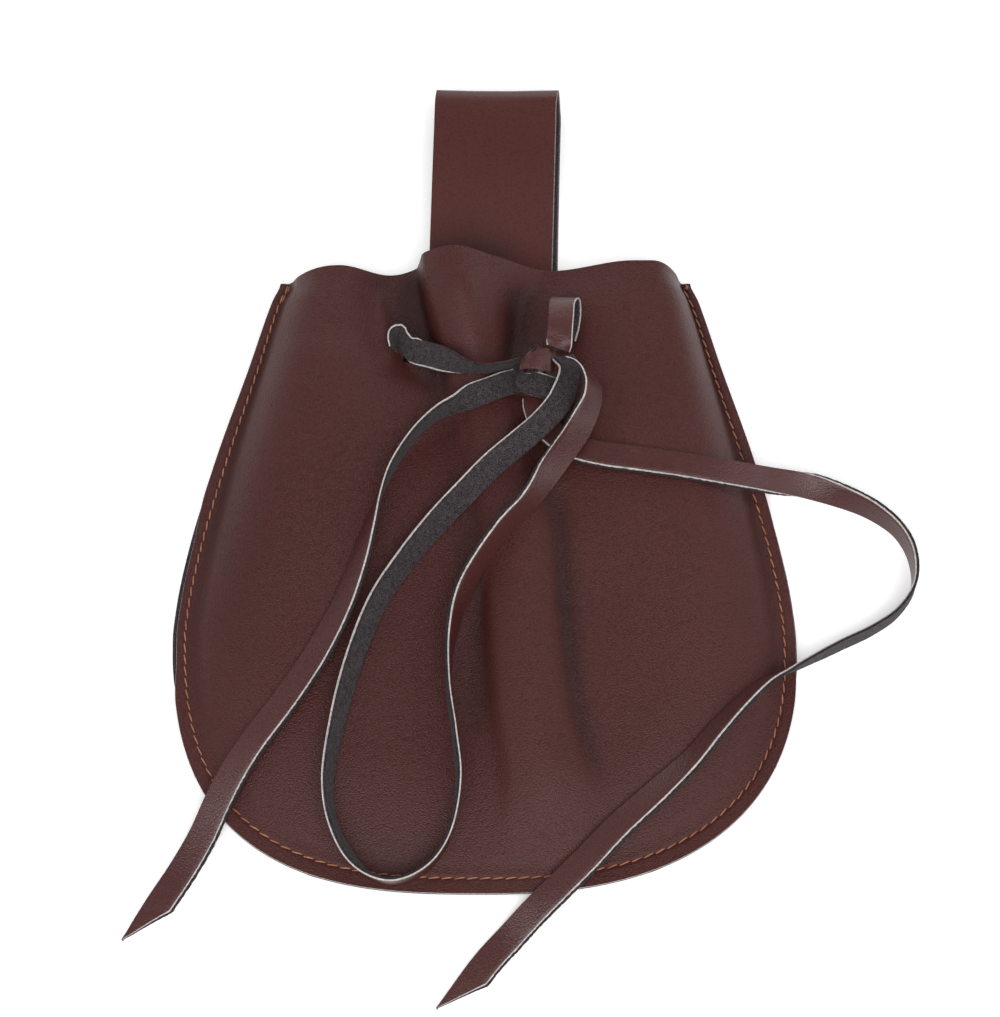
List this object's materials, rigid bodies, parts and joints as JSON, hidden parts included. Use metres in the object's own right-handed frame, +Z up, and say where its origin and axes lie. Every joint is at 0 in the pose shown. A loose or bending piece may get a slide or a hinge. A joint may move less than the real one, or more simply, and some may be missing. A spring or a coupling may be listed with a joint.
{
  "type": "medieval belt pouch",
  "caption": "Flat leather belt pouch with a rounded bottom, drawn-in mouth, knotted lace with a bow loop and long tails, and a belt loop at the back.",
  "frame": {"origin": "on the table under the middle of the pouch and its belt loop, laces not counted", "axes": "+Y from the pouch's bottom towards the belt loop, +X to the right seen from above, +Z up out of the front panel"},
  "size_m": [0.2346, 0.3037, 0.0291],
  "materials": {
    "smooth_leather": "dark red-brown smooth face, semi-gloss, fine pebble grain, dark grey suede back",
    "lace_leather": "dark red-brown smooth face, pale cut edges, dark grey suede back",
    "thread": "orange-brown waxed sewing thread"
  },
  "bodies": {
    "root": {"front_panel": "smooth_leather", "back_panel": "smooth_leather", "belt_loop_strap": "smooth_leather", "lace_gather": "lace_leather", "lace_knot": "lace_leather", "lace_small_loop": "lace_leather", "lace_big_loop": "lace_leather", "lace_left_tail": "lace_leather", "lace_right_tail": "lace_leather", "lace_inside": "lace_leather"}
  },
  "joints": []
}
